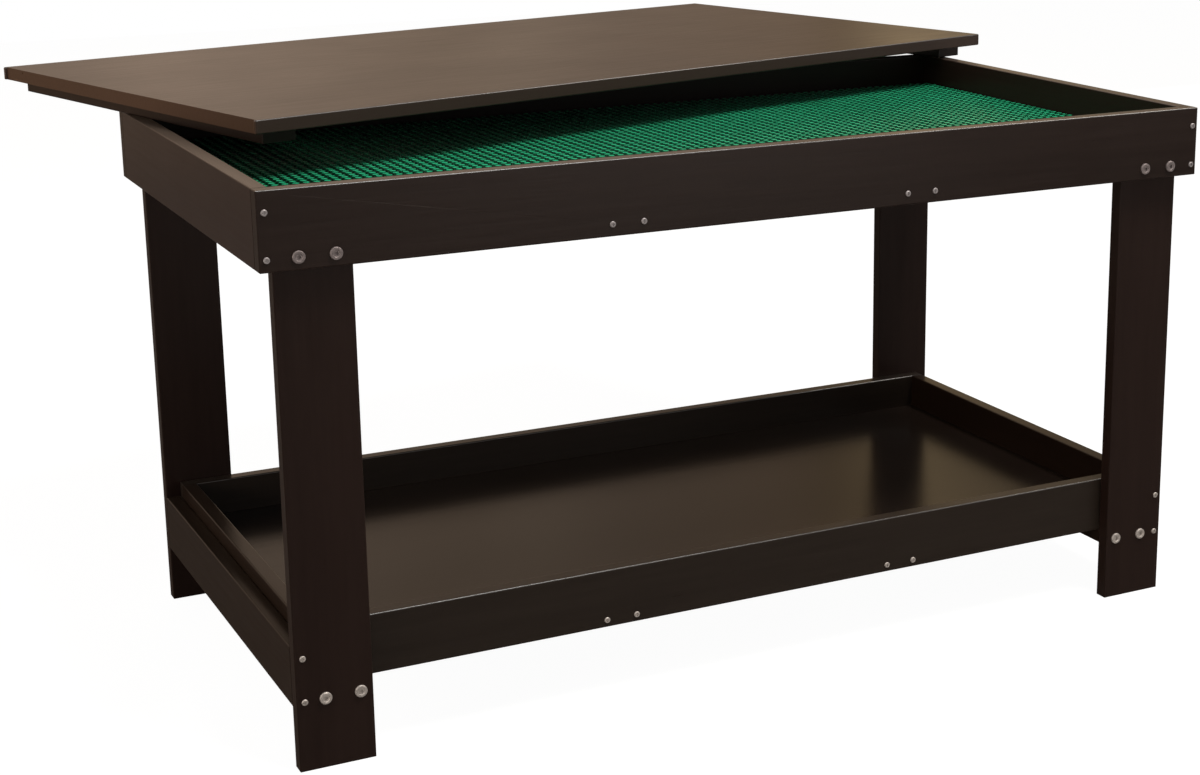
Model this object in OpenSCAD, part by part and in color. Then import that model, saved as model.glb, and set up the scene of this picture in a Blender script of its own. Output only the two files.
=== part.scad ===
// Play table for children: an open play box with studded base plates, four legs,
// a storage tray below and a loose lid that lies askew on the rim.
// Millimetres. X runs along the table, Y to the back, Z up from the floor.

/* [Play box] */
// Length of the play box, outside
box_l = 1219; // [1000:1:1400]
// Depth of the play box, outside
box_w = 642; // [540:1:760]
// Height of the rim above the floor
rim_z = 656; // [560:1:760]
// Height of the four apron boards
apron_h = 87; // [76:1:120]
// Thickness of every board of the frame
board_t = 18; // [16:0.5:21]
// Rounding of the boards' edges
edge_r = 1.5; // [0.5:0.1:3]
// How far the braces lie above the aprons' lower edge
brace_up = 5; // [2:0.5:10]
// Distance from the middle of the table to a brace's middle
brace_x = 193; // [150:1:260]
// Width of a brace
brace_w = 70; // [56:1:90]

/* [Legs and end rails] */
// Width of a leg
leg_w = 87; // [80:1:110]
// Height of an end rail's lower edge above the floor
end_rail_z = 72; // [40:1:120]
// Height of an end rail
end_rail_h = 71; // [55:1:90]
// How far a bearer lies above the end rail's lower edge
bearer_up = 1.5; // [0:0.5:6]

/* [Tray] */
// Height of the tray's four boards
tray_h = 71; // [55:1:90]
// Thickness of the tray's floor
tray_floor_t = 6; // [4:0.5:9]
// Depth of the groove that holds the tray's floor
groove_d = 5; // [3:0.5:8]

/* [Base plates] */
// Thickness of a base plate
plate_t = 2.4; // [1.6:0.1:4]
// Rounding of a plate's corners, seen from above
plate_corner_r = 3; // [1:0.5:5]
// Studs along the length of one plate
studs_x = 24; // [20:1:27]
// Diameter of a stud
stud_d = 7.4; // [5:0.1:8.4]
// Height of a stud
stud_h = 3.2; // [2:0.1:4]

/* [Lid] */
// How far the lid is longer than the play box, at each end
lid_over_l = 13.5; // [6:0.5:30]
// How far the lid is wider than the play box, at each side
lid_over_w = 4; // [2:0.5:20]
// Thickness of the lid's panel
lid_t = 16.4; // [12:0.1:22]
// Rounding of the lid's edges
lid_edge_r = 1.5; // [0.5:0.1:2.5]
// Rounding of the lid's corners, seen from above
lid_corner_r = 3; // [3:0.5:14]
// Width of a batten under the lid
batten_w = 44.5; // [34:0.5:60]
// Thickness of a batten
batten_t = 16; // [12:0.5:22]
// Distance from the lid's short edge to a batten
batten_inset = 21.5; // [16:0.5:40]
// Gap between a batten's ends and the long aprons when the lid is closed
batten_play = 1; // [0.5:0.5:6]
// Where the lid's middle lies along the table
lid_x = -22.5; // [-60:0.5:20]
// How far behind the play box the lid's middle lies
lid_back = 91; // [60:1:120]
// Turn of the lid, seen from above
lid_turn = 15.3; // [12:0.1:18]

/* [Fasteners] */
// Diameter of a leg bolt
bolt_d = 6.3; // [5:0.1:7]
// Diameter of a leg bolt's head
bolt_head_d = 14; // [12:0.5:17]
// Thickness of a leg bolt's head
bolt_head_h = 2.4; // [1.8:0.1:3.5]
// Distance between the two bolts of a joint
bolt_gap = 40; // [34:1:44]
// Reach of a leg bolt into the board behind the leg
bolt_reach = 44; // [38:1:56]
// Diameter of a barrel nut
nut_d = 10; // [9:0.5:12]
// Length of a barrel nut
nut_l = 14; // [12:0.5:15]
// Distance from a board's end to its barrel nut
nut_in = 34; // [26:1:36]
// Diameter of a screw
screw_d = 4; // [3.5:0.1:4.5]
// Diameter of a screw's head
screw_head_d = 7.1; // [6.5:0.1:8.5]
// Thickness of a screw's head
screw_head_h = 1.6; // [1.2:0.1:2.4]
// Reach of a screw past the board that it holds
screw_reach = 27; // [20:1:34]
// Distance between the two screws at a brace's end
brace_screw_gap = 38.4; // [30:0.2:44]
// Distance from the box's end to its corner screws
corner_screw_in = 8; // [7:0.5:10]
// Distance from an apron's edge to its lower corner screws
corner_screw_low = 13.6; // [11:0.2:20]
// Distance between the corner screws at one corner
corner_screw_gap = 50; // [40:1:54]
// Distance from an end rail's edges to its screws
rail_screw_in = 10; // [8:0.5:16]
// Reach of the short screws that hold the box floor and the battens
short_reach = 10; // [7:0.5:11]
// Distance from the legs' inner faces to the outer screws of a row across the table
row_screw_in = 95; // [70:1:130]
// Distance from a batten's ends to its outer screws
batten_screw_in = 60; // [40:1:100]

/* [Clearances] */
// Gap around the box floor and the base plates
panel_gap = 0.5; // [0.2:0.1:1]
// Gap around the tray, between legs and end rails
tray_gap = 0.4; // [0.2:0.1:1]
// Gap around the tray's floor in its grooves
groove_gap = 0.3; // [0.1:0.1:0.6]
// Gap between a bolt or nut and its hole, on each side
bolt_play = 0.3; // [0.15:0.05:0.5]
// Gap between a screw and its hole, on each side
screw_play = 0.1; // [0.05:0.05:0.2]

/* [Hidden] */
$fn = 48;
espresso = [0.17, 0.13, 0.11];
steel = [0.6, 0.57, 0.54];
plate_green = [0.08, 0.5, 0.32];

half_l = box_l / 2;
half_w = box_w / 2;
inner_x = half_l - board_t;          // inner face of the end aprons, outer edge of the legs
inner_y = half_w - board_t;          // inner face of the long aprons, outer face of the legs
leg_in_x = inner_x - leg_w;          // inner edge of the legs
leg_in_y = inner_y - board_t;        // inner face of the legs
leg_x = inner_x - leg_w / 2;

apron_z = rim_z - apron_h;
brace_z = apron_z + brace_up;
floor_z = brace_z + board_t;         // underside of the box floor, top of the legs
plate_z = floor_z + board_t;

rail_in_x = inner_x - board_t;       // inner face of the end rails
bearer_w = leg_w - board_t;
bearer_x = rail_in_x - bearer_w / 2;
bearer_z = end_rail_z + bearer_up;
tray_z = bearer_z + board_t;
tray_x = rail_in_x - tray_gap;       // outer face of the tray's ends
tray_y = leg_in_y - tray_gap;        // outer face of the tray's rails
tray_in_x = tray_x - board_t;
tray_in_y = tray_y - board_t;
tray_floor_z = tray_z + board_t;

seam = panel_gap / 2;                // each of two plates side by side gives half the gap
cell_l = (inner_x - seam) / 2;       // the place of one plate, of four along the box
cell_w = inner_y - seam;             // and of two across it
stud_pitch = cell_l / studs_x;
stud_rows = floor(cell_w / stud_pitch);

upper_bolt_z = brace_z + board_t / 2;
lower_bolt_z = bearer_z + board_t / 2;
brace_screw_z = brace_z + board_t / 2;
tray_screw_z = tray_z + board_t / 2;
tray_corner_screw_z = [tray_z + board_t / 2, tray_z + tray_h - board_t];
upper_bolt_x = [leg_x - bolt_gap / 2, leg_x + bolt_gap / 2];
lower_bolt_x = [bearer_x - bolt_gap / 2, bearer_x + bolt_gap / 2];
brace_screw_x = [brace_x - brace_screw_gap / 2, brace_x + brace_screw_gap / 2];
corner_screw_z = [apron_z + corner_screw_low, apron_z + corner_screw_low + corner_screw_gap];
rail_screw_x = inner_x - board_t / 2;
rail_screw_z = [end_rail_z + rail_screw_in, end_rail_z + end_rail_h - rail_screw_in];
floor_screw_y = [row_screw_in - leg_in_y, 0, leg_in_y - row_screw_in];

lid_l = box_l + 2 * lid_over_l;
lid_w = box_w + 2 * lid_over_w;
lid_y = half_w + lid_back;
batten_l = 2 * (inner_y - batten_play);
batten_x = lid_l / 2 - batten_inset - batten_w / 2;
batten_screw_y = [batten_screw_in - batten_l / 2, 0, batten_l / 2 - batten_screw_in];

bolt_socket_d = 4.6;                 // across the corners of the hexagon
bolt_socket_depth = 1.6;
bolt_rim_w = 3.3;                    // the raised rim round the dish of a bolt's head
bolt_dish_depth = 0.5;
head_ease = 0.6;
cross_l = 4;
cross_w = 0.9;
cross_depth = 1.1;
tip_l = 3;
past = 1;                            // how far a cut runs past the face that it opens
through = board_t + past;            // depth of a hole through a board
screw_hole_d = screw_d + 2 * screw_play;
long_hole = screw_reach + screw_play;
short_hole = short_reach + screw_play;
sides = [-1, 1];

// ---- building blocks ----

// A rectangle with rounded corners
module eased_rect(size, r) {
    translate([r, 0]) square([size.x - 2 * r, size.y]);
    translate([0, r]) square([size.x, size.y - 2 * r]);
    for (x = [r, size.x - r], y = [r, size.y - r]) translate([x, y]) circle(r);
}

// A board between two corners, with all its edges eased
module eased_board(a, b, r = edge_r) {
    s = b - a;
    translate(a) intersection() {
        rotate([90, 0, 90]) linear_extrude(s.x) eased_rect([s.y, s.z], r);
        translate([0, s.y, 0]) rotate([90, 0, 0]) linear_extrude(s.y) eased_rect([s.x, s.z], r);
        linear_extrude(s.z) eased_rect([s.x, s.y], r);
    }
}

// A board along Y that butts against others at both ends: its long edges are eased, its ends are square
module butted_board(a, b, r = edge_r) {
    s = b - a;
    translate([a.x, b.y, a.z]) rotate([90, 0, 0]) linear_extrude(s.y) eased_rect([s.x, s.z], r);
}

// Moves what is drawn at the back right to the named side
module to_side(sx, sy) {
    mirror([sx < 0 ? 1 : 0, 0, 0]) mirror([0, sy < 0 ? 1 : 0, 0]) children();
}

// Places what points along +Z so that it points to the back, out of a board's face
module facing_back(x, y, z) {
    translate([x, y, z]) rotate([-90, 0, 0]) children();
}

// A drilled hole that runs forwards from y into the table
module hole_y(x, y, z, d, depth) {
    facing_back(x, y, z) hole(d, depth);
}

module screw_hole_y(x, y, z, depth) hole_y(x, y, z, screw_hole_d, depth);

module bolt_hole_y(x, y, z, depth) hole_y(x, y, z, bolt_d + 2 * bolt_play, depth);

// A drilled hole with its mouth at z = 0
module hole(d, depth) {
    translate([0, 0, -depth]) cylinder(d = d, h = depth + past);
}

// The seat of a countersunk head, with its mouth at z = 0
module countersink() {
    r = screw_hole_d / 2;
    head_r = screw_head_d / 2 + screw_play;
    rotate_extrude() polygon([[0, past], [head_r, past], [head_r, 0], [r, r - head_r], [0, r - head_r]]);
}

// A countersunk screw's hole through a board of thickness t
module sunk_hole(t) {
    countersink();
    hole(screw_hole_d, t + past);
}

module cross_recess() {
    for (turn = [0, 90]) rotate(turn)
        translate([-cross_l / 2, -cross_w / 2, -cross_depth]) cube([cross_l, cross_w, cross_depth + past]);
}

// A screw with a low round head that stands on the board, its shank pointing down
module pan_screw(l) {
    r = screw_d / 2;
    head_r = screw_head_d / 2;
    difference() {
        rotate_extrude() polygon([
            [0, -l], [r, -l + tip_l], [r, 0], [head_r, 0], [head_r, screw_head_h - head_ease],
            [head_r - head_ease, screw_head_h], [0, screw_head_h]
        ]);
        translate([0, 0, screw_head_h]) cross_recess();
    }
}

// A screw with a flat head sunk level with z = 0
module sunk_screw(l) {
    r = screw_d / 2;
    head_r = screw_head_d / 2;
    difference() {
        rotate_extrude() polygon([[0, -l], [r, -l + tip_l], [r, r - head_r], [head_r, 0], [0, 0]]);
        cross_recess();
    }
}

// A furniture bolt with a flat dished head and a hexagon socket
module leg_bolt(l) {
    r = bolt_d / 2;
    head_r = bolt_head_d / 2;
    dish_r = head_r - bolt_rim_w;
    dish_z = bolt_head_h - bolt_dish_depth;
    difference() {
        rotate_extrude() polygon([
            [0, -l], [r - head_ease, -l], [r, -l + head_ease], [r, 0], [head_r, 0],
            [head_r, bolt_head_h - head_ease], [head_r - head_ease, bolt_head_h],
            [dish_r + bolt_dish_depth, bolt_head_h], [dish_r, dish_z], [0, dish_z]
        ]);
        translate([0, 0, dish_z - bolt_socket_depth])
            cylinder(d = bolt_socket_d, h = bolt_socket_depth + past, $fn = 6);
    }
}

// A barrel nut that stands in a board, crossed by its bolt along Y
module barrel_nut() {
    difference() {
        cylinder(d = nut_d, h = nut_l);
        translate([0, nut_d, nut_l / 2]) rotate([90, 0, 0]) cylinder(d = bolt_d + 2 * screw_play, h = 2 * nut_d);
    }
}

// The two bolt holes and nut holes at the back end of a cleat or bearer on the right
module bolted_end(xs, z) {
    for (x = xs) {
        bolt_hole_y(x, leg_in_y, z, bolt_reach + bolt_play);
        translate([x, leg_in_y - nut_in, z - board_t]) cylinder(
            d = nut_d + 2 * bolt_play, h = board_t + nut_l / 2 + bolt_play
        );
    }
}

// ---- play box ----

module long_apron(sy) {
    color(espresso) to_side(1, sy) difference() {
        eased_board([-half_l, inner_y, apron_z], [half_l, half_w, rim_z]);
        for (sx = sides) to_side(sx, 1) {
            for (z = corner_screw_z) screw_hole_y(half_l - corner_screw_in, half_w, z, through);
            for (x = upper_bolt_x) bolt_hole_y(x, half_w, upper_bolt_z, through);
            for (x = brace_screw_x) screw_hole_y(x, half_w, brace_screw_z, through);
        }
    }
}

module end_apron(sx) {
    color(espresso) to_side(sx, 1) difference() {
        butted_board([inner_x, -inner_y, apron_z], [half_l, inner_y, rim_z]);
        for (sy = sides) to_side(1, sy)
            for (z = corner_screw_z) screw_hole_y(half_l - corner_screw_in, inner_y, z, long_hole);
    }
}

module box_brace(sx) {
    color(espresso) to_side(sx, 1) difference() {
        butted_board([brace_x - brace_w / 2, -inner_y, brace_z], [brace_x + brace_w / 2, inner_y, floor_z]);
        for (sy = sides, x = brace_screw_x) to_side(1, sy)
            screw_hole_y(x, inner_y, brace_screw_z, long_hole);
        for (y = floor_screw_y) translate([brace_x, y, floor_z]) hole(screw_hole_d, short_hole);
    }
}

module box_cleat(sx) {
    color(espresso) to_side(sx, 1) difference() {
        butted_board([leg_in_x, -leg_in_y, brace_z], [inner_x, leg_in_y, floor_z]);
        for (sy = sides) to_side(1, sy) bolted_end(upper_bolt_x, upper_bolt_z);
        for (y = floor_screw_y) translate([leg_x, y, floor_z]) hole(screw_hole_d, short_hole);
    }
}

module box_floor() {
    x = inner_x - panel_gap;
    y = inner_y - panel_gap;
    color(espresso) difference() {
        translate([-x, -y, floor_z]) cube([2 * x, 2 * y, board_t]);
        for (sx = sides, hx = [brace_x, leg_x], hy = floor_screw_y)
            translate([sx * hx, hy, plate_z]) sunk_hole(board_t);
    }
}

module floor_screws() {
    color(steel) for (sx = sides, x = [brace_x, leg_x], y = floor_screw_y)
        translate([sx * x, y, plate_z]) sunk_screw(board_t + short_reach);
}

// One base plate with its studs; place 0 is beside the middle of the box, place 1 at its end
module baseplate(sx, sy, place) {
    color(plate_green) to_side(sx, sy) translate([place * cell_l, 0, plate_z]) {
        translate([seam, seam, 0]) linear_extrude(plate_t)
            eased_rect([cell_l - 2 * seam, cell_w - 2 * seam], plate_corner_r);
        for (column = [0:studs_x - 1], row = [0:stud_rows - 1])
            translate([(column + 1 / 2) * stud_pitch, (row + 1 / 2) * stud_pitch, plate_t])
                cylinder(d = stud_d, h = stud_h);
    }
}

// ---- legs and end rails ----

module leg(sx, sy) {
    color(espresso) to_side(sx, sy) difference() {
        eased_board([leg_in_x, leg_in_y, 0], [inner_x, inner_y, floor_z]);
        for (x = upper_bolt_x) bolt_hole_y(x, inner_y, upper_bolt_z, through);
        for (x = lower_bolt_x) bolt_hole_y(x, inner_y, lower_bolt_z, through);
        for (z = rail_screw_z) screw_hole_y(rail_screw_x, inner_y, z, through);
    }
}

module end_rail(sx) {
    color(espresso) to_side(sx, 1) difference() {
        butted_board([rail_in_x, -leg_in_y, end_rail_z], [inner_x, leg_in_y, end_rail_z + end_rail_h]);
        for (sy = sides, z = rail_screw_z) to_side(1, sy)
            screw_hole_y(rail_screw_x, leg_in_y, z, long_hole);
    }
}

module bearer(sx) {
    color(espresso) to_side(sx, 1) difference() {
        butted_board([leg_in_x, -leg_in_y, bearer_z], [rail_in_x, leg_in_y, tray_z]);
        for (sy = sides) to_side(1, sy) bolted_end(lower_bolt_x, lower_bolt_z);
        for (y = floor_screw_y)
            translate([tray_x - board_t / 2, y, bearer_z]) mirror([0, 0, 1]) sunk_hole(board_t);
    }
}

// ---- tray ----

// The tray's floor, grown by a gap on all sides
module tray_panel(gap) {
    x = tray_in_x + groove_d - groove_gap + gap;
    y = tray_in_y + groove_d - groove_gap + gap;
    translate([-x, -y, tray_floor_z]) cube([2 * x, 2 * y, tray_floor_t + gap]);
}

module tray_rail(sy) {
    color(espresso) to_side(1, sy) difference() {
        eased_board([-tray_x, tray_in_y, tray_z], [tray_x, tray_y, tray_z + tray_h]);
        tray_panel(groove_gap);
        for (sx = sides) to_side(sx, 1) {
            for (z = tray_corner_screw_z) {
                screw_hole_y(tray_x - board_t / 2, tray_y, z, through);
                facing_back(tray_x - board_t / 2, tray_y, z) countersink();
            }
            for (x = brace_screw_x) screw_hole_y(x, tray_y, tray_screw_z, through);
        }
    }
}

module tray_end(sx) {
    color(espresso) to_side(sx, 1) difference() {
        butted_board([tray_in_x, -tray_in_y, tray_z], [tray_x, tray_in_y, tray_z + tray_h]);
        tray_panel(groove_gap);
        for (sy = sides, z = tray_corner_screw_z) to_side(1, sy)
            screw_hole_y(tray_x - board_t / 2, tray_in_y, z, long_hole);
        for (y = floor_screw_y)
            translate([tray_x - board_t / 2, y, tray_z]) mirror([0, 0, 1]) hole(screw_hole_d, short_hole);
    }
}

module tray_floor() color(espresso) tray_panel(0);

module tray_brace(sx) {
    color(espresso) to_side(sx, 1) difference() {
        butted_board([brace_x - brace_w / 2, -tray_in_y, tray_z], [brace_x + brace_w / 2, tray_in_y, tray_floor_z]);
        for (sy = sides, x = brace_screw_x) to_side(1, sy)
            screw_hole_y(x, tray_in_y, tray_screw_z, long_hole);
    }
}

// ---- lid ----

// Puts the lid askew on the rim; its own origin is the middle of the battens' underside
module lid_place() {
    translate([lid_x, lid_y, rim_z]) rotate([0, 0, lid_turn]) children();
}

// A slab with rounded edges all round and rounded corners
module rounded_slab(l, w, t, corner_r, r) {
    for (x = [-l / 2 + corner_r, l / 2 - corner_r], y = [-w / 2 + corner_r, w / 2 - corner_r])
        translate([x, y, 0]) rotate_extrude() intersection() {
            translate([-corner_r, 0]) eased_rect([2 * corner_r, t], r);
            square([corner_r, t]);
        }
    translate([-l / 2 + corner_r, -w / 2, 0])
        rotate([90, 0, 90]) linear_extrude(l - 2 * corner_r) eased_rect([w, t], r);
    translate([-l / 2, w / 2 - corner_r, 0])
        rotate([90, 0, 0]) linear_extrude(w - 2 * corner_r) eased_rect([l, t], r);
}

module lid_panel() {
    color(espresso) lid_place() difference() {
        translate([0, 0, batten_t]) rounded_slab(lid_l, lid_w, lid_t, lid_corner_r, lid_edge_r);
        for (sx = sides, y = batten_screw_y)
            translate([sx * batten_x, y, batten_t]) mirror([0, 0, 1]) hole(screw_hole_d, short_hole);
    }
}

module lid_batten(sx) {
    color(espresso) lid_place() to_side(sx, 1) difference() {
        eased_board([batten_x - batten_w / 2, -batten_l / 2, 0], [batten_x + batten_w / 2, batten_l / 2, batten_t]);
        for (y = batten_screw_y) translate([batten_x, y, 0]) mirror([0, 0, 1]) sunk_hole(batten_t);
    }
}

module lid_screws() {
    color(steel) lid_place() for (sx = sides, y = batten_screw_y)
        translate([sx * batten_x, y, 0]) mirror([0, 0, 1]) sunk_screw(batten_t + short_reach);
}

// ---- fasteners of the frame and tray ----

module corner_screws() {
    color(steel) for (sx = sides, sy = sides, z = corner_screw_z) to_side(sx, sy)
        facing_back(half_l - corner_screw_in, half_w, z) pan_screw(board_t + screw_reach);
}

module box_brace_screws() {
    color(steel) for (sx = sides, sy = sides, x = brace_screw_x) to_side(sx, sy)
        facing_back(x, half_w, brace_screw_z) pan_screw(board_t + screw_reach);
}

module upper_leg_bolts() {
    color(steel) for (sx = sides, sy = sides, x = upper_bolt_x) to_side(sx, sy)
        facing_back(x, half_w, upper_bolt_z) leg_bolt(2 * board_t + bolt_reach);
}

module lower_leg_bolts() {
    color(steel) for (sx = sides, sy = sides, x = lower_bolt_x) to_side(sx, sy)
        facing_back(x, inner_y, lower_bolt_z) leg_bolt(board_t + bolt_reach);
}

module barrel_nuts(xs, z) {
    color(steel) for (sx = sides, sy = sides, x = xs) to_side(sx, sy)
        translate([x, leg_in_y - nut_in, z - nut_l / 2]) barrel_nut();
}

module upper_barrel_nuts() barrel_nuts(upper_bolt_x, upper_bolt_z);

module lower_barrel_nuts() barrel_nuts(lower_bolt_x, lower_bolt_z);

module end_rail_screws() {
    color(steel) for (sx = sides, sy = sides, z = rail_screw_z) to_side(sx, sy)
        facing_back(rail_screw_x, inner_y, z) pan_screw(board_t + screw_reach);
}

module tray_corner_screws() {
    color(steel) for (sx = sides, sy = sides, z = tray_corner_screw_z) to_side(sx, sy)
        facing_back(tray_x - board_t / 2, tray_y, z) sunk_screw(board_t + screw_reach);
}

module tray_brace_screws() {
    color(steel) for (sx = sides, sy = sides, x = brace_screw_x) to_side(sx, sy)
        facing_back(x, tray_y, tray_screw_z) pan_screw(board_t + screw_reach);
}

module tray_hold_screws() {
    color(steel) for (sx = sides, y = floor_screw_y)
        translate([sx * (tray_x - board_t / 2), y, bearer_z]) mirror([0, 0, 1])
            sunk_screw(board_t + short_reach);
}

long_apron(-1);  // apron_front
long_apron(1);  // apron_back
end_apron(-1);  // apron_left
end_apron(1);  // apron_right
box_floor();
box_brace(-1);  // box_brace_left
box_brace(1);  // box_brace_right
box_cleat(-1);  // box_cleat_left
box_cleat(1);  // box_cleat_right
baseplate(-1, -1, 1);  // baseplate_front_left
baseplate(-1, -1, 0);  // baseplate_front_mid_left
baseplate(1, -1, 0);  // baseplate_front_mid_right
baseplate(1, -1, 1);  // baseplate_front_right
baseplate(-1, 1, 1);  // baseplate_back_left
baseplate(-1, 1, 0);  // baseplate_back_mid_left
baseplate(1, 1, 0);  // baseplate_back_mid_right
baseplate(1, 1, 1);  // baseplate_back_right
leg(-1, -1);  // leg_front_left
leg(1, -1);  // leg_front_right
leg(-1, 1);  // leg_back_left
leg(1, 1);  // leg_back_right
end_rail(-1);  // end_rail_left
end_rail(1);  // end_rail_right
bearer(-1);  // bearer_left
bearer(1);  // bearer_right
tray_rail(-1);  // tray_rail_front
tray_rail(1);  // tray_rail_back
tray_end(-1);  // tray_end_left
tray_end(1);  // tray_end_right
tray_floor();
tray_brace(-1);  // tray_brace_left
tray_brace(1);  // tray_brace_right
lid_panel();
lid_batten(-1);  // lid_batten_left
lid_batten(1);  // lid_batten_right
lid_screws();
corner_screws();
box_brace_screws();
floor_screws();
upper_leg_bolts();
upper_barrel_nuts();
end_rail_screws();
lower_leg_bolts();
lower_barrel_nuts();
tray_corner_screws();
tray_brace_screws();
tray_hold_screws();
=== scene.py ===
import math

import bmesh
import bpy
import mathutils
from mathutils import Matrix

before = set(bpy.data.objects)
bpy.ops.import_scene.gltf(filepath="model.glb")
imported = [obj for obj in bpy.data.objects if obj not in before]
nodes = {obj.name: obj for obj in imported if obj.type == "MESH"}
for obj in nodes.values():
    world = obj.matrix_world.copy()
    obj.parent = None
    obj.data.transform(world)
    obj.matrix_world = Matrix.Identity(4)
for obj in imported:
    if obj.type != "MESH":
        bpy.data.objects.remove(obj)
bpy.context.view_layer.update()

print("frame loaded:", len(nodes), "nodes")


def addNode(tree, kind, **settings):
    node = tree.nodes.new(kind)
    for key, value in settings.items():
        setattr(node, key, value)
    return node


def feed(tree, socket, value):
    # a socket gets a link from another socket, or a fixed value
    if isinstance(value, bpy.types.NodeSocket):
        tree.links.new(value, socket)
    else:
        socket.default_value = value


def calc(tree, operation, a, b=0.0, clamp=False):
    node = addNode(tree, "ShaderNodeMath", operation=operation, use_clamp=clamp)
    feed(tree, node.inputs[0], a)
    feed(tree, node.inputs[1], b)
    return node.outputs[0]


def weigh(tree, first, second, share):
    # the first value counts for its share, the second for the rest
    return calc(tree, "ADD", calc(tree, "MULTIPLY", first, share),
                calc(tree, "MULTIPLY", second, 1.0 - share))


def spread(tree, value, low, high, toLow=0.0, toHigh=1.0):
    node = addNode(tree, "ShaderNodeMapRange", clamp=True)
    for socket, entry in zip(node.inputs, (value, low, high, toLow, toHigh)):
        feed(tree, socket, entry)
    return node.outputs[0]


def blendColour(tree, amount, first, second):
    # the node's colour sockets have the numbers 6 and 7, and its colour comes out at 2
    node = addNode(tree, "ShaderNodeMix", data_type="RGBA")
    feed(tree, node.inputs[0], amount)
    feed(tree, node.inputs[6], first)
    feed(tree, node.inputs[7], second)
    return node.outputs[2]


def layOver(tree, colour, mask, share, over):
    # another colour over this one, as strong as the mask times its share
    return blendColour(tree, calc(tree, "MULTIPLY", mask, share), colour, (*over, 1))


def noise(tree, vector, scale, detail, roughness):
    node = addNode(tree, "ShaderNodeTexNoise")
    feed(tree, node.inputs["Vector"], vector)
    feed(tree, node.inputs["Scale"], scale)
    feed(tree, node.inputs["Detail"], detail)
    feed(tree, node.inputs["Roughness"], roughness)
    return node.outputs[0]


def splitVector(tree, vector):
    node = addNode(tree, "ShaderNodeSeparateXYZ")
    feed(tree, node.inputs[0], vector)
    return node.outputs


def turnVector(tree, vector, turn):
    node = addNode(tree, "ShaderNodeMapping", vector_type="VECTOR")
    feed(tree, node.inputs["Vector"], vector)
    node.inputs["Rotation"].default_value = turn
    return node.outputs[0]


def objectPlace(tree):
    return addNode(tree, "ShaderNodeTexCoord").outputs["Object"]


def faceNormal(tree):
    return addNode(tree, "ShaderNodeNewGeometry").outputs["Normal"]


def newGroup(title, inputs, outputs):
    group = bpy.data.node_groups.new(title, "ShaderNodeTree")
    for name, kind in inputs.items():
        group.interface.new_socket(name=name, in_out="INPUT", socket_type=kind)
    for name in outputs:
        group.interface.new_socket(name=name, in_out="OUTPUT", socket_type="NodeSocketFloat")
    return group, group.nodes.new("NodeGroupInput").outputs, group.nodes.new("NodeGroupOutput").inputs


def useGroup(tree, group, **values):
    node = addNode(tree, "ShaderNodeGroup", node_tree=group)
    for name, value in values.items():
        feed(tree, node.inputs[name], value)
    return node.outputs


def newMaterial(title, base, roughness, specular, metallic=0.0):
    material = bpy.data.materials.new(title)
    material.use_nodes = True
    tree = material.node_tree
    shader = tree.nodes["Principled BSDF"]
    shader.inputs["Base Color"].default_value = (*base, 1.0)
    shader.inputs["Roughness"].default_value = roughness
    shader.inputs["Specular IOR Level"].default_value = specular
    shader.inputs["Metallic"].default_value = metallic
    material.diffuse_color = (*base, 1.0)
    return material, tree, shader.inputs


def addBump(tree, shader, height, distance):
    bump = addNode(tree, "ShaderNodeBump")
    bump.inputs["Distance"].default_value = distance
    feed(tree, bump.inputs["Height"], height)
    tree.links.new(bump.outputs[0], shader["Normal"])


def dress(names, material):
    for name in names:
        for slot in nodes[name].material_slots:
            slot.material = material


def topOf(name):
    return max(corner[2] for corner in nodes[name].bound_box)


# a noise pattern is its scale, detail and roughness, and a range is where a mask is 0 and where it is 1

grainValues = {
    "fibre": (5.0, 0.62),      # the scale is the group's Fineness
    "fibreRange": (0.30, 0.70),
    "drift": (9.0, 2.0, 0.5),
    "driftRange": (0.32, 0.68),
}


def makeBoardGrain():
    # fibres run along the vector's X; drift is the slow change of tone over a board
    group, inside, out = newGroup(
        "boardGrain",
        {"Vector": "NodeSocketVector", "Stretch": "NodeSocketFloat", "Fineness": "NodeSocketFloat"},
        ["Fibre", "Drift"],
    )
    scale = addNode(group, "ShaderNodeCombineXYZ")
    for socket, value in zip(scale.inputs, (inside["Stretch"], 1.0, 1.0)):
        feed(group, socket, value)
    stretched = addNode(group, "ShaderNodeVectorMath", operation="MULTIPLY")
    feed(group, stretched.inputs[0], inside["Vector"])
    feed(group, stretched.inputs[1], scale.outputs[0])
    fibre = noise(group, stretched.outputs[0], inside["Fineness"], *grainValues["fibre"])
    feed(group, out["Fibre"], spread(group, fibre, *grainValues["fibreRange"]))
    drift = noise(group, stretched.outputs[0], *grainValues["drift"])
    feed(group, out["Drift"], spread(group, drift, *grainValues["driftRange"]))
    return group


wearValues = {
    "samples": 6,
    "turned": (0.99, 0.80),    # dot product of the rounded normal and the face's own
    "patches": (4.0, 0.6),     # the scale is the group's Breakup
    "patchRange": (0.35, 0.65),
    "ridgeFromSide": (0.10, 0.30),    # the normal's Z, as an upper edge turns from the side ...
    "ridgeFromTop": (0.98, 0.90),     # ... to the top
}


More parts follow.
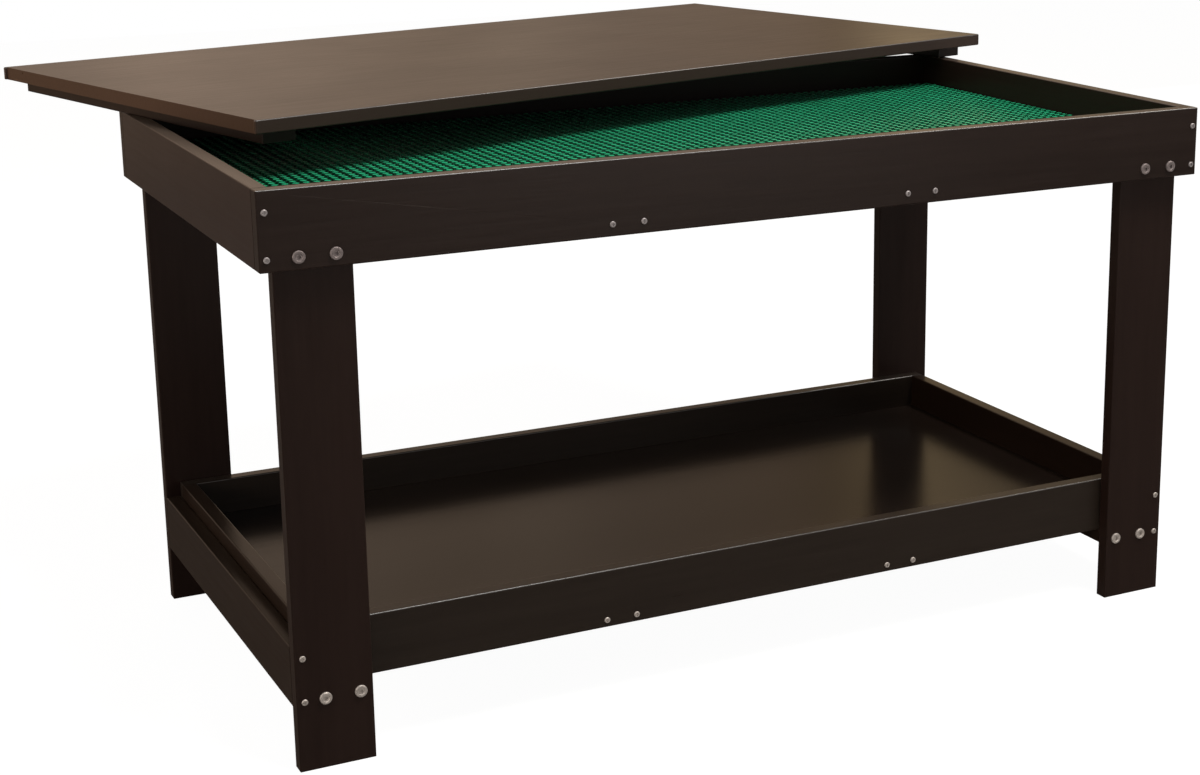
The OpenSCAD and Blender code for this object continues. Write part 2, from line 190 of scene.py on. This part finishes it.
def makeEdgeWear():
    # where the surface turns over an edge: Mask is broken up, Ridge is the even line along upper edges
    group, inside, out = newGroup(
        "edgeWear", {"Radius": "NodeSocketFloat", "Breakup": "NodeSocketFloat"}, ["Mask", "Ridge"]
    )
    normal = faceNormal(group)
    rounded = addNode(group, "ShaderNodeBevel", samples=wearValues["samples"])
    feed(group, rounded.inputs["Radius"], inside["Radius"])
    facing = addNode(group, "ShaderNodeVectorMath", operation="DOT_PRODUCT")
    feed(group, facing.inputs[0], rounded.outputs[0])
    feed(group, facing.inputs[1], normal)
    edge = spread(group, facing.outputs["Value"], *wearValues["turned"])
    patches = noise(group, objectPlace(group), inside["Breakup"], *wearValues["patches"])
    broken = spread(group, patches, *wearValues["patchRange"])
    feed(group, out["Mask"], calc(group, "MULTIPLY", edge, broken, clamp=True))
    upright = splitVector(group, normal)[2]
    fromSide = spread(group, upright, *wearValues["ridgeFromSide"])
    fromTop = spread(group, upright, *wearValues["ridgeFromTop"])
    feed(group, out["Ridge"], calc(group, "MULTIPLY", fromSide, fromTop, clamp=True))
    return group


dustValues = {
    "upward": (0.50, 0.95),    # the normal's Z
    "cloud": (5.0, 0.65),      # the scale is the group's Scale
    "cloudRange": (0.38, 0.72),
}


def makeRestingDust():
    # fine dust on what faces up
    group, inside, out = newGroup("restingDust", {"Scale": "NodeSocketFloat"}, ["Mask"])
    upward = spread(group, splitVector(group, faceNormal(group))[2], *dustValues["upward"])
    cloud = noise(group, objectPlace(group), inside["Scale"], *dustValues["cloud"])
    thick = spread(group, cloud, *dustValues["cloudRange"])
    feed(group, out["Mask"], calc(group, "MULTIPLY", upward, thick, clamp=True))
    return group


boardGrain = makeBoardGrain()
edgeWear = makeEdgeWear()
restingDust = makeRestingDust()
print("shared effects made")


# the dark satin paint on every board
paint = {
    "dark": (0.0137, 0.0080, 0.0062),
    "light": (0.0203, 0.0122, 0.0094),
    "fibreStretch": 0.05,      # scale along the fibres beside the scale across them
    "fibreFineness": 160.0,
    "fibreShare": 0.45,        # of the tone's figure, the rest is drift
    "fibreHeight": 0.00005,    # metres
    "specular": 0.13,
    "roughness": (0.27, 0.34),
    "smudges": (7.0, 3.0, 0.6),
    "smudgeShare": 0.6,        # of the roughness, the rest is fibre
    "glossRange": (0.20, 0.80),
    "bloom": 0.02,             # the soft warm sheen that satin paint has at a low angle
    "bloomColour": (1.0, 0.74, 0.53),
    "bloomRoughness": 0.45,
    "peel": (420.0, 2.0, 0.5),
    "peelShare": 0.5,          # height beside the fibres'
    "edgeRadius": 0.0022,      # metres
    "edgeBreakup": 60.0,
    "worn": (0.050, 0.032, 0.021),
    "wornShare": 0.5,
    "polish": 0.8,             # upper edges that hands have rubbed shiny
    "polishRoughness": 0.28,
    "dust": (0.120, 0.105, 0.090),
    "dustScale": 14.0,
    "dustShare": 0.05,
    "rim": (0.054, 0.039, 0.030),      # painted sheen: a lighter tone on the upward face of the box's top edge
    "rimDrop": (0.002, 0.001),         # metres below the top
    "rimUpward": (0.50, 0.90),         # the normal's Z
    "cut": (0.037, 0.0240, 0.0185),    # the lid's long sawn edges: a sawn-edge tone that is also painted light
    "cutRange": (0.90, 0.20),
    "endGrainAndLight": (0.072, 0.038, 0.0230),    # the lid's short edges, where the fibres end: an end-grain tone that is also painted light
    "endGrainRange": (0.60, 0.95),
}

# how each grain direction turns the object's own axes so that the fibres run along X
lidTurn = math.radians(15.3)
grainTurns = {
    "length": (0.0, 0.0, 0.0),
    "depth": (0.0, 0.0, math.radians(-90)),
    "height": (0.0, math.radians(90), 0.0),
    "lid": (0.0, 0.0, -lidTurn),
    "batten": (0.0, 0.0, -lidTurn - math.radians(90)),
}

# the boards of one batch share the way of their fibres and their roughness beside the paint's own; their tone
# makes the same paint lighter or darker as painted light and shade, for how the light falls on those boards
boardBatches = {
    "sides": {
        "grain": "length", "tone": (1.0, 1.0, 1.0), "rough": 1.0, "litSawnEdges": False,
        "boards": ["apron_front", "apron_back"],
    },
    "panels": {
        "grain": "length", "tone": (0.75, 0.75, 0.75), "rough": 0.66, "litSawnEdges": False,
        "boards": ["box_floor", "tray_floor"],
    },
    "trayRails": {
        "grain": "length", "tone": (1.10, 1.30, 1.25), "rough": 1.0, "litSawnEdges": False,
        "boards": ["tray_rail_front", "tray_rail_back"],
    },
    "ends": {
        "grain": "depth", "tone": (1.32, 1.24, 1.30), "rough": 1.0, "litSawnEdges": False,
        "boards": ["apron_left", "apron_right"],
    },
    "crossBoards": {
        "grain": "depth", "tone": (0.80, 0.68, 0.52), "rough": 1.0, "litSawnEdges": False,
        "boards": ["box_brace_left", "box_brace_right", "box_cleat_left", "box_cleat_right",
                   "end_rail_left", "end_rail_right", "bearer_left", "bearer_right",
                   "tray_end_left", "tray_end_right", "tray_brace_left", "tray_brace_right"],
    },
    "legs": {
        "grain": "height", "tone": (0.95, 0.83, 0.81), "rough": 1.0, "litSawnEdges": False,
        "boards": ["leg_front_left", "leg_front_right", "leg_back_left", "leg_back_right"],
    },
    "lid": {
        "grain": "lid", "tone": (1.0, 1.0, 1.0), "rough": 1.0, "litSawnEdges": True,
        "boards": ["lid_panel"],
    },
    "battens": {
        "grain": "batten", "tone": (1.0, 1.0, 1.0), "rough": 1.0, "litSawnEdges": False,
        "boards": ["lid_batten_left", "lid_batten_right"],
    },
}


def toned(colour, tone):
    return tuple(part * share for part, share in zip(colour, tone)) + (1.0,)


def litSawnEdges(tree, colour, normal, turn):
    # the lid's edges show the board's long side or the ends of its fibres, in lighter tones that are partly
    # painted light
    turned = splitVector(tree, turnVector(tree, normal, turn))
    cut = spread(tree, calc(tree, "ABSOLUTE", turned[2]), *paint["cutRange"])
    colour = blendColour(tree, cut, colour, (*paint["cut"], 1))
    endGrainAndLight = spread(tree, calc(tree, "ABSOLUTE", turned[0]), *paint["endGrainRange"])
    return blendColour(tree, endGrainAndLight, colour, (*paint["endGrainAndLight"], 1))


def rimPaintedSheen(tree, colour, normal, place):
    # painted sheen: the upward faces at the box's top edge get a lighter tone
    rimHeights = [topOf("apron_front") - drop for drop in paint["rimDrop"]]
    atRim = spread(tree, splitVector(tree, place)[2], *rimHeights)
    upward = spread(tree, splitVector(tree, normal)[2], *paint["rimUpward"])
    return layOver(tree, colour, atRim, upward, paint["rim"])


def paintedWood(title, batch):
    turn = grainTurns[batch["grain"]]
    smooth, matte = [value * batch["rough"] for value in paint["roughness"]]
    material, tree, shader = newMaterial(title, paint["light"], smooth, paint["specular"])
    shader["Sheen Weight"].default_value = paint["bloom"]
    shader["Sheen Roughness"].default_value = paint["bloomRoughness"]
    shader["Sheen Tint"].default_value = (*paint["bloomColour"], 1)
    place = objectPlace(tree)
    normal = faceNormal(tree)
    grain = useGroup(tree, boardGrain, Vector=turnVector(tree, place, turn),
                     Stretch=paint["fibreStretch"], Fineness=paint["fibreFineness"])
    edge = useGroup(tree, edgeWear, Radius=paint["edgeRadius"], Breakup=paint["edgeBreakup"])
    dust = useGroup(tree, restingDust, Scale=paint["dustScale"])["Mask"]

    figure = weigh(tree, grain["Fibre"], grain["Drift"], paint["fibreShare"])
    # painted light and shade: the batch's tone scales the paint's colours
    dark, light = [toned(paint[shade], batch["tone"]) for shade in ("dark", "light")]
    colour = blendColour(tree, figure, dark, light)
    if batch["litSawnEdges"]:
        colour = litSawnEdges(tree, colour, normal, turn)
    else:
        colour = rimPaintedSheen(tree, colour, normal, place)
    colour = layOver(tree, colour, edge["Mask"], paint["wornShare"], paint["worn"])
    colour = layOver(tree, colour, dust, paint["dustShare"], paint["dust"])
    feed(tree, shader["Base Color"], colour)

    smudges = noise(tree, place, *paint["smudges"])
    gloss = weigh(tree, smudges, grain["Fibre"], paint["smudgeShare"])
    feed(tree, shader["Roughness"], spread(tree, gloss, *paint["glossRange"], smooth, matte))
    feed(tree, shader["Coat Weight"], calc(tree, "MULTIPLY", edge["Ridge"], paint["polish"]))
    shader["Coat Roughness"].default_value = paint["polishRoughness"]

    peel = noise(tree, place, *paint["peel"])
    height = calc(tree, "ADD", grain["Fibre"], calc(tree, "MULTIPLY", peel, paint["peelShare"]))
    addBump(tree, shader, height, paint["fibreHeight"])
    return material


for batchName, batch in boardBatches.items():
    dress(batch["boards"], paintedWood("paintedWood_" + batchName, batch))
print("boards painted")


# the green plastic of the studded base plates
plastic = {
    "recessShade": (0.001, 0.030, 0.013),      # painted shade: the plate between the studs
    "deep": (0.015, 0.405, 0.180),
    "bright": (0.026, 0.545, 0.255),
    "flow": (5.0, 3.0, 0.6),
    "flowRange": (0.30, 0.70),
    "roughness": (0.24, 0.36),
    "specular": 0.5,
    "scratches": (220.0, 4.0, 0.6),
    "scratchRange": (0.30, 0.70),
    "scratchDepth": 0.00003,   # metres
    "edgeRadius": 0.0008,      # metres
    "edgeBreakup": 140.0,
    "scuffed": (0.120, 0.600, 0.380),
    "scuffShare": 0.35,
    "studHeight": 0.0032,      # metres
    "studUpward": (0.0, 0.90),    # the normal's Z
    "shadedSideShare": 0.30,         # how much of the bright green the studs' sides keep under their painted shade
}


def mouldedPlastic():
    material, tree, shader = newMaterial(
        "mouldedPlastic", plastic["bright"], plastic["roughness"][0], plastic["specular"]
    )
    place = objectPlace(tree)
    flow = spread(tree, noise(tree, place, *plastic["flow"]), *plastic["flowRange"])
    colour = blendColour(tree, flow, (*plastic["deep"], 1), (*plastic["bright"], 1))
    edge = useGroup(tree, edgeWear, Radius=plastic["edgeRadius"], Breakup=plastic["edgeBreakup"])["Mask"]
    colour = layOver(tree, colour, edge, plastic["scuffShare"], plastic["scuffed"])
    # painted shade: the plate between the studs takes the dark recess colour, and the studs' sides are
    # darkened towards it
    studTop = topOf("baseplate_front_left")
    raised = spread(tree, splitVector(tree, place)[2], studTop - plastic["studHeight"], studTop)
    upright = splitVector(tree, faceNormal(tree))[2]
    upward = spread(tree, upright, *plastic["studUpward"], plastic["shadedSideShare"], 1.0)
    colour = blendColour(tree, calc(tree, "MULTIPLY", raised, upward), (*plastic["recessShade"], 1), colour)
    feed(tree, shader["Base Color"], colour)
    scratches = noise(tree, place, *plastic["scratches"])
    feed(tree, shader["Roughness"],
         spread(tree, scratches, *plastic["scratchRange"], *plastic["roughness"]))
    addBump(tree, shader, scratches, plastic["scratchDepth"])
    return material


dress([name for name in nodes if name.startswith("baseplate")], mouldedPlastic())
print("base plates finished")


# the plated steel of the screws, bolts and barrel nuts
steel = {
    "roughness": (0.50, 0.66),
    "specular": 0.5,
    "metallic": 0.7,           # the matte plating hides part of the metal
    "tarnish": (260.0, 4.0, 0.6),
    "tarnishRange": (0.35, 0.70),
    "dullShare": 0.64,         # how bright the dull spots are beside the clean ones
    "grit": (1400.0, 2.0, 0.5),
    "gritHeight": 0.00002,     # metres
    "steelShades": {              # one steel at three brightnesses: the box's bolts and screws are painted darker than the frame's, as shade
        "steelDarkestShade": {"clean": (0.215, 0.178, 0.170), "pieces": ["upper_leg_bolts"]},
        "steelMidShade": {"clean": (0.315, 0.282, 0.276),
                       "pieces": ["corner_screws", "box_brace_screws", "floor_screws", "lid_screws"]},
        "steelBright": {"clean": (0.490, 0.435, 0.392),
                 "pieces": ["lower_leg_bolts", "end_rail_screws", "tray_brace_screws", "tray_corner_screws",
                            "tray_hold_screws", "upper_barrel_nuts", "lower_barrel_nuts"]},
    },
}


def platedSteel(title, clean):
    material, tree, shader = newMaterial(
        title, clean, steel["roughness"][0], steel["specular"], steel["metallic"]
    )
    place = objectPlace(tree)
    tarnish = spread(tree, noise(tree, place, *steel["tarnish"]), *steel["tarnishRange"])
    dull = [part * steel["dullShare"] for part in clean]
    feed(tree, shader["Base Color"], blendColour(tree, tarnish, (*clean, 1), (*dull, 1)))
    feed(tree, shader["Roughness"], spread(tree, tarnish, 0.0, 1.0, *steel["roughness"]))
    addBump(tree, shader, noise(tree, place, *steel["grit"]), steel["gritHeight"])
    return material


# painted shade: each set of fasteners gets the steel at its own brightness
for steelShadeName, steelShade in steel["steelShades"].items():
    dress(steelShade["pieces"], platedSteel("platedSteel_" + steelShadeName, steelShade["clean"]))
print("fasteners finished")


studio = {
    "floorSize": (14.0, 14.0),    # metres
    "floorColour": (0.80, 0.79, 0.775),
    "floorRoughness": 0.9,
    "floorSpecular": 0.0,
    "floorWhite": 0.84,        # share of plain white in what the camera sees of the floor
    "floorStrength": 1.15,
    "floorMirrored": (0.06, 0.045, 0.035),    # the floor's tone in the paint's reflections
    "white": (1.0, 1.0, 1.0, 1.0),
    "ambient": (0.80, 0.82, 0.85),
    "ambientStrength": 0.19,
}


def seenDirectly(tree):
    # 1 for the rays that see the backdrop: camera, mirror and see-through rays
    path = addNode(tree, "ShaderNodeLightPath").outputs
    share = calc(tree, "MAXIMUM", path["Is Camera Ray"], path["Is Glossy Ray"])
    return calc(tree, "MAXIMUM", share, path["Is Transmission Ray"]), path["Is Glossy Ray"]


def makePlane(title, size, material):
    mesh = bpy.data.meshes.new(title)
    shape = bmesh.new()
    bmesh.ops.create_grid(shape, x_segments=1, y_segments=1, size=0.5)
    bmesh.ops.scale(shape, vec=(*size, 1.0), verts=shape.verts)
    shape.to_mesh(mesh)
    shape.free()
    mesh.materials.append(material)
    plane = bpy.data.objects.new(title, mesh)
    bpy.context.collection.objects.link(plane)
    return plane


def makeFloor():
    material, tree, shader = newMaterial(
        "studioFloor", studio["floorColour"], studio["floorRoughness"], studio["floorSpecular"]
    )
    seen, mirrored = seenDirectly(tree)
    white = addNode(tree, "ShaderNodeEmission")
    white.inputs["Strength"].default_value = studio["floorStrength"]
    feed(tree, white.inputs["Color"],
         blendColour(tree, mirrored, studio["white"], (*studio["floorMirrored"], 1)))
    mix = addNode(tree, "ShaderNodeMixShader")
    feed(tree, mix.inputs[0], calc(tree, "MULTIPLY", seen, studio["floorWhite"]))
    tree.links.new(tree.nodes["Principled BSDF"].outputs[0], mix.inputs[1])
    tree.links.new(white.outputs[0], mix.inputs[2])
    tree.links.new(mix.outputs[0], tree.nodes["Material Output"].inputs["Surface"])
    floor = makePlane("studioFloor", studio["floorSize"], material)


def makeWorld():
    world = bpy.data.worlds.new("studioWorld")
    bpy.context.scene.world = world
    world.use_nodes = True
    tree = world.node_tree
    light = tree.nodes["Background"]
    light.inputs["Color"].default_value = (*studio["ambient"], 1)
    light.inputs["Strength"].default_value = studio["ambientStrength"]
    white = addNode(tree, "ShaderNodeBackground")
    white.inputs["Color"].default_value = studio["white"]
    mix = addNode(tree, "ShaderNodeMixShader")
    feed(tree, mix.inputs[0], seenDirectly(tree)[0])
    tree.links.new(light.outputs[0], mix.inputs[1])
    tree.links.new(white.outputs[0], mix.inputs[2])
    tree.links.new(mix.outputs[0], tree.nodes["World Output"].inputs["Surface"])


# a warm wall behind the table: the paint's soft reflections come from it, the camera doesn't see it
backWall = {
    "centre": (1.0, 3.6, 1.9),
    "size": (12.0, 3.8),
    "glow": [                  # how far across from the left, and the light there
        (0.00, (0.60, 0.38, 0.22)), (0.12, (0.58, 0.36, 0.21)), (0.24, (0.20, 0.14, 0.10)),
        (0.33, (0.20, 0.15, 0.11)), (0.43, (0.84, 0.625, 0.47)), (0.50, (0.56, 0.415, 0.30)),
        (0.52, (0.62, 0.465, 0.34)), (0.545, (0.48, 0.355, 0.26)), (0.60, (0.44, 0.310, 0.21)),
        (0.615, (0.30, 0.205, 0.120)), (0.635, (0.85, 0.620, 0.350)), (0.66, (0.60, 0.435, 0.255)),
        (0.70, (0.36, 0.265, 0.160)), (0.74, (0.27, 0.200, 0.125)), (1.00, (0.16, 0.11, 0.075)),
    ],
}


def makeBackWall():
    material = bpy.data.materials.new("backWall")
    material.use_nodes = True
    tree = material.node_tree
    tree.nodes.remove(tree.nodes["Principled BSDF"])
    ramp = addNode(tree, "ShaderNodeValToRGB")
    feed(tree, ramp.inputs[0], splitVector(tree, addNode(tree, "ShaderNodeTexCoord").outputs["Generated"])[0])
    stops = ramp.color_ramp.elements
    for across, colour in backWall["glow"][1:-1]:
        stops.new(across)
    for stop, (across, colour) in zip(stops, backWall["glow"]):
        stop.color = (*colour, 1)
    glow = addNode(tree, "ShaderNodeEmission")
    feed(tree, glow.inputs["Color"], ramp.outputs[0])
    tree.links.new(glow.outputs[0], tree.nodes["Material Output"].inputs["Surface"])
    wall = makePlane("backWall", backWall["size"], material)
    wall.location = backWall["centre"]
    wall.rotation_euler = (math.radians(90), 0.0, 0.0)
    wall.visible_camera = False


lamps = {
    "keyFromAbove": {
        "place": (1.0, -1.6, 4.4), "aim": (0.0, 0.0, 0.5), "size": (1.8, 1.4),
        "watts": 185.0, "colour": (1.0, 0.98, 0.95), "onlyShine": False,
    },
    "shineFromRight": {
        "place": (2.1, -0.3, 3.0), "aim": (0.0, 0.0, 0.55), "size": (1.0, 1.0),
        "watts": 55.0, "colour": (1.0, 0.93, 0.84), "onlyShine": True,
    },
    "fillFromFront": {
        "place": (1.4, -3.8, 0.5), "aim": (0.0, 0.0, 0.5), "size": (1.4, 0.8),
        "watts": 12.0, "colour": (1.0, 0.93, 0.86), "onlyShine": False,
    },
    "fillFromLeft": {
        "place": (-3.4, -0.9, 1.1), "aim": (0.0, 0.0, 0.62), "size": (1.2, 0.8),
        "watts": 33.0, "colour": (1.0, 0.89, 0.78), "onlyShine": False,
    },
}


def makeLamp(title, values):
    data = bpy.data.lights.new(title, "AREA")
    data.shape = "RECTANGLE"
    data.size, data.size_y = values["size"]
    data.energy = values["watts"]
    data.color = values["colour"]
    lamp = bpy.data.objects.new(title, data)
    bpy.context.collection.objects.link(lamp)
    lamp.location = values["place"]
    toAim = mathutils.Vector(values["aim"]) - mathutils.Vector(values["place"])
    lamp.rotation_euler = toAim.to_track_quat("-Z", "Y").to_euler()
    lamp.visible_camera = False
    lamp.visible_diffuse = not values["onlyShine"]


cameraValues = {
    "place": (-1.1672, -2.4565, 1.0590),
    "tilt": 76.213,            # degrees from straight down
    "turn": -28.409,           # degrees about the upright axis
    "sensor": 36.0,            # millimetres, like the lens
    "lens": 64.22,
    "shift": (-0.1426, -0.0658),
}


def makeCamera():
    data = bpy.data.cameras.new("viewCamera")
    data.sensor_width = cameraValues["sensor"]
    data.lens = cameraValues["lens"]
    data.shift_x, data.shift_y = cameraValues["shift"]
    camera = bpy.data.objects.new("viewCamera", data)
    bpy.context.collection.objects.link(camera)
    camera.location = cameraValues["place"]
    camera.rotation_euler = (math.radians(cameraValues["tilt"]), 0.0, math.radians(cameraValues["turn"]))
    bpy.context.scene.camera = camera


makeFloor()
makeWorld()
makeBackWall()
for lampName, lampValues in lamps.items():
    makeLamp(lampName, lampValues)
makeCamera()
bpy.context.scene.view_settings.view_transform = "Standard"
print("floor, light and camera set")
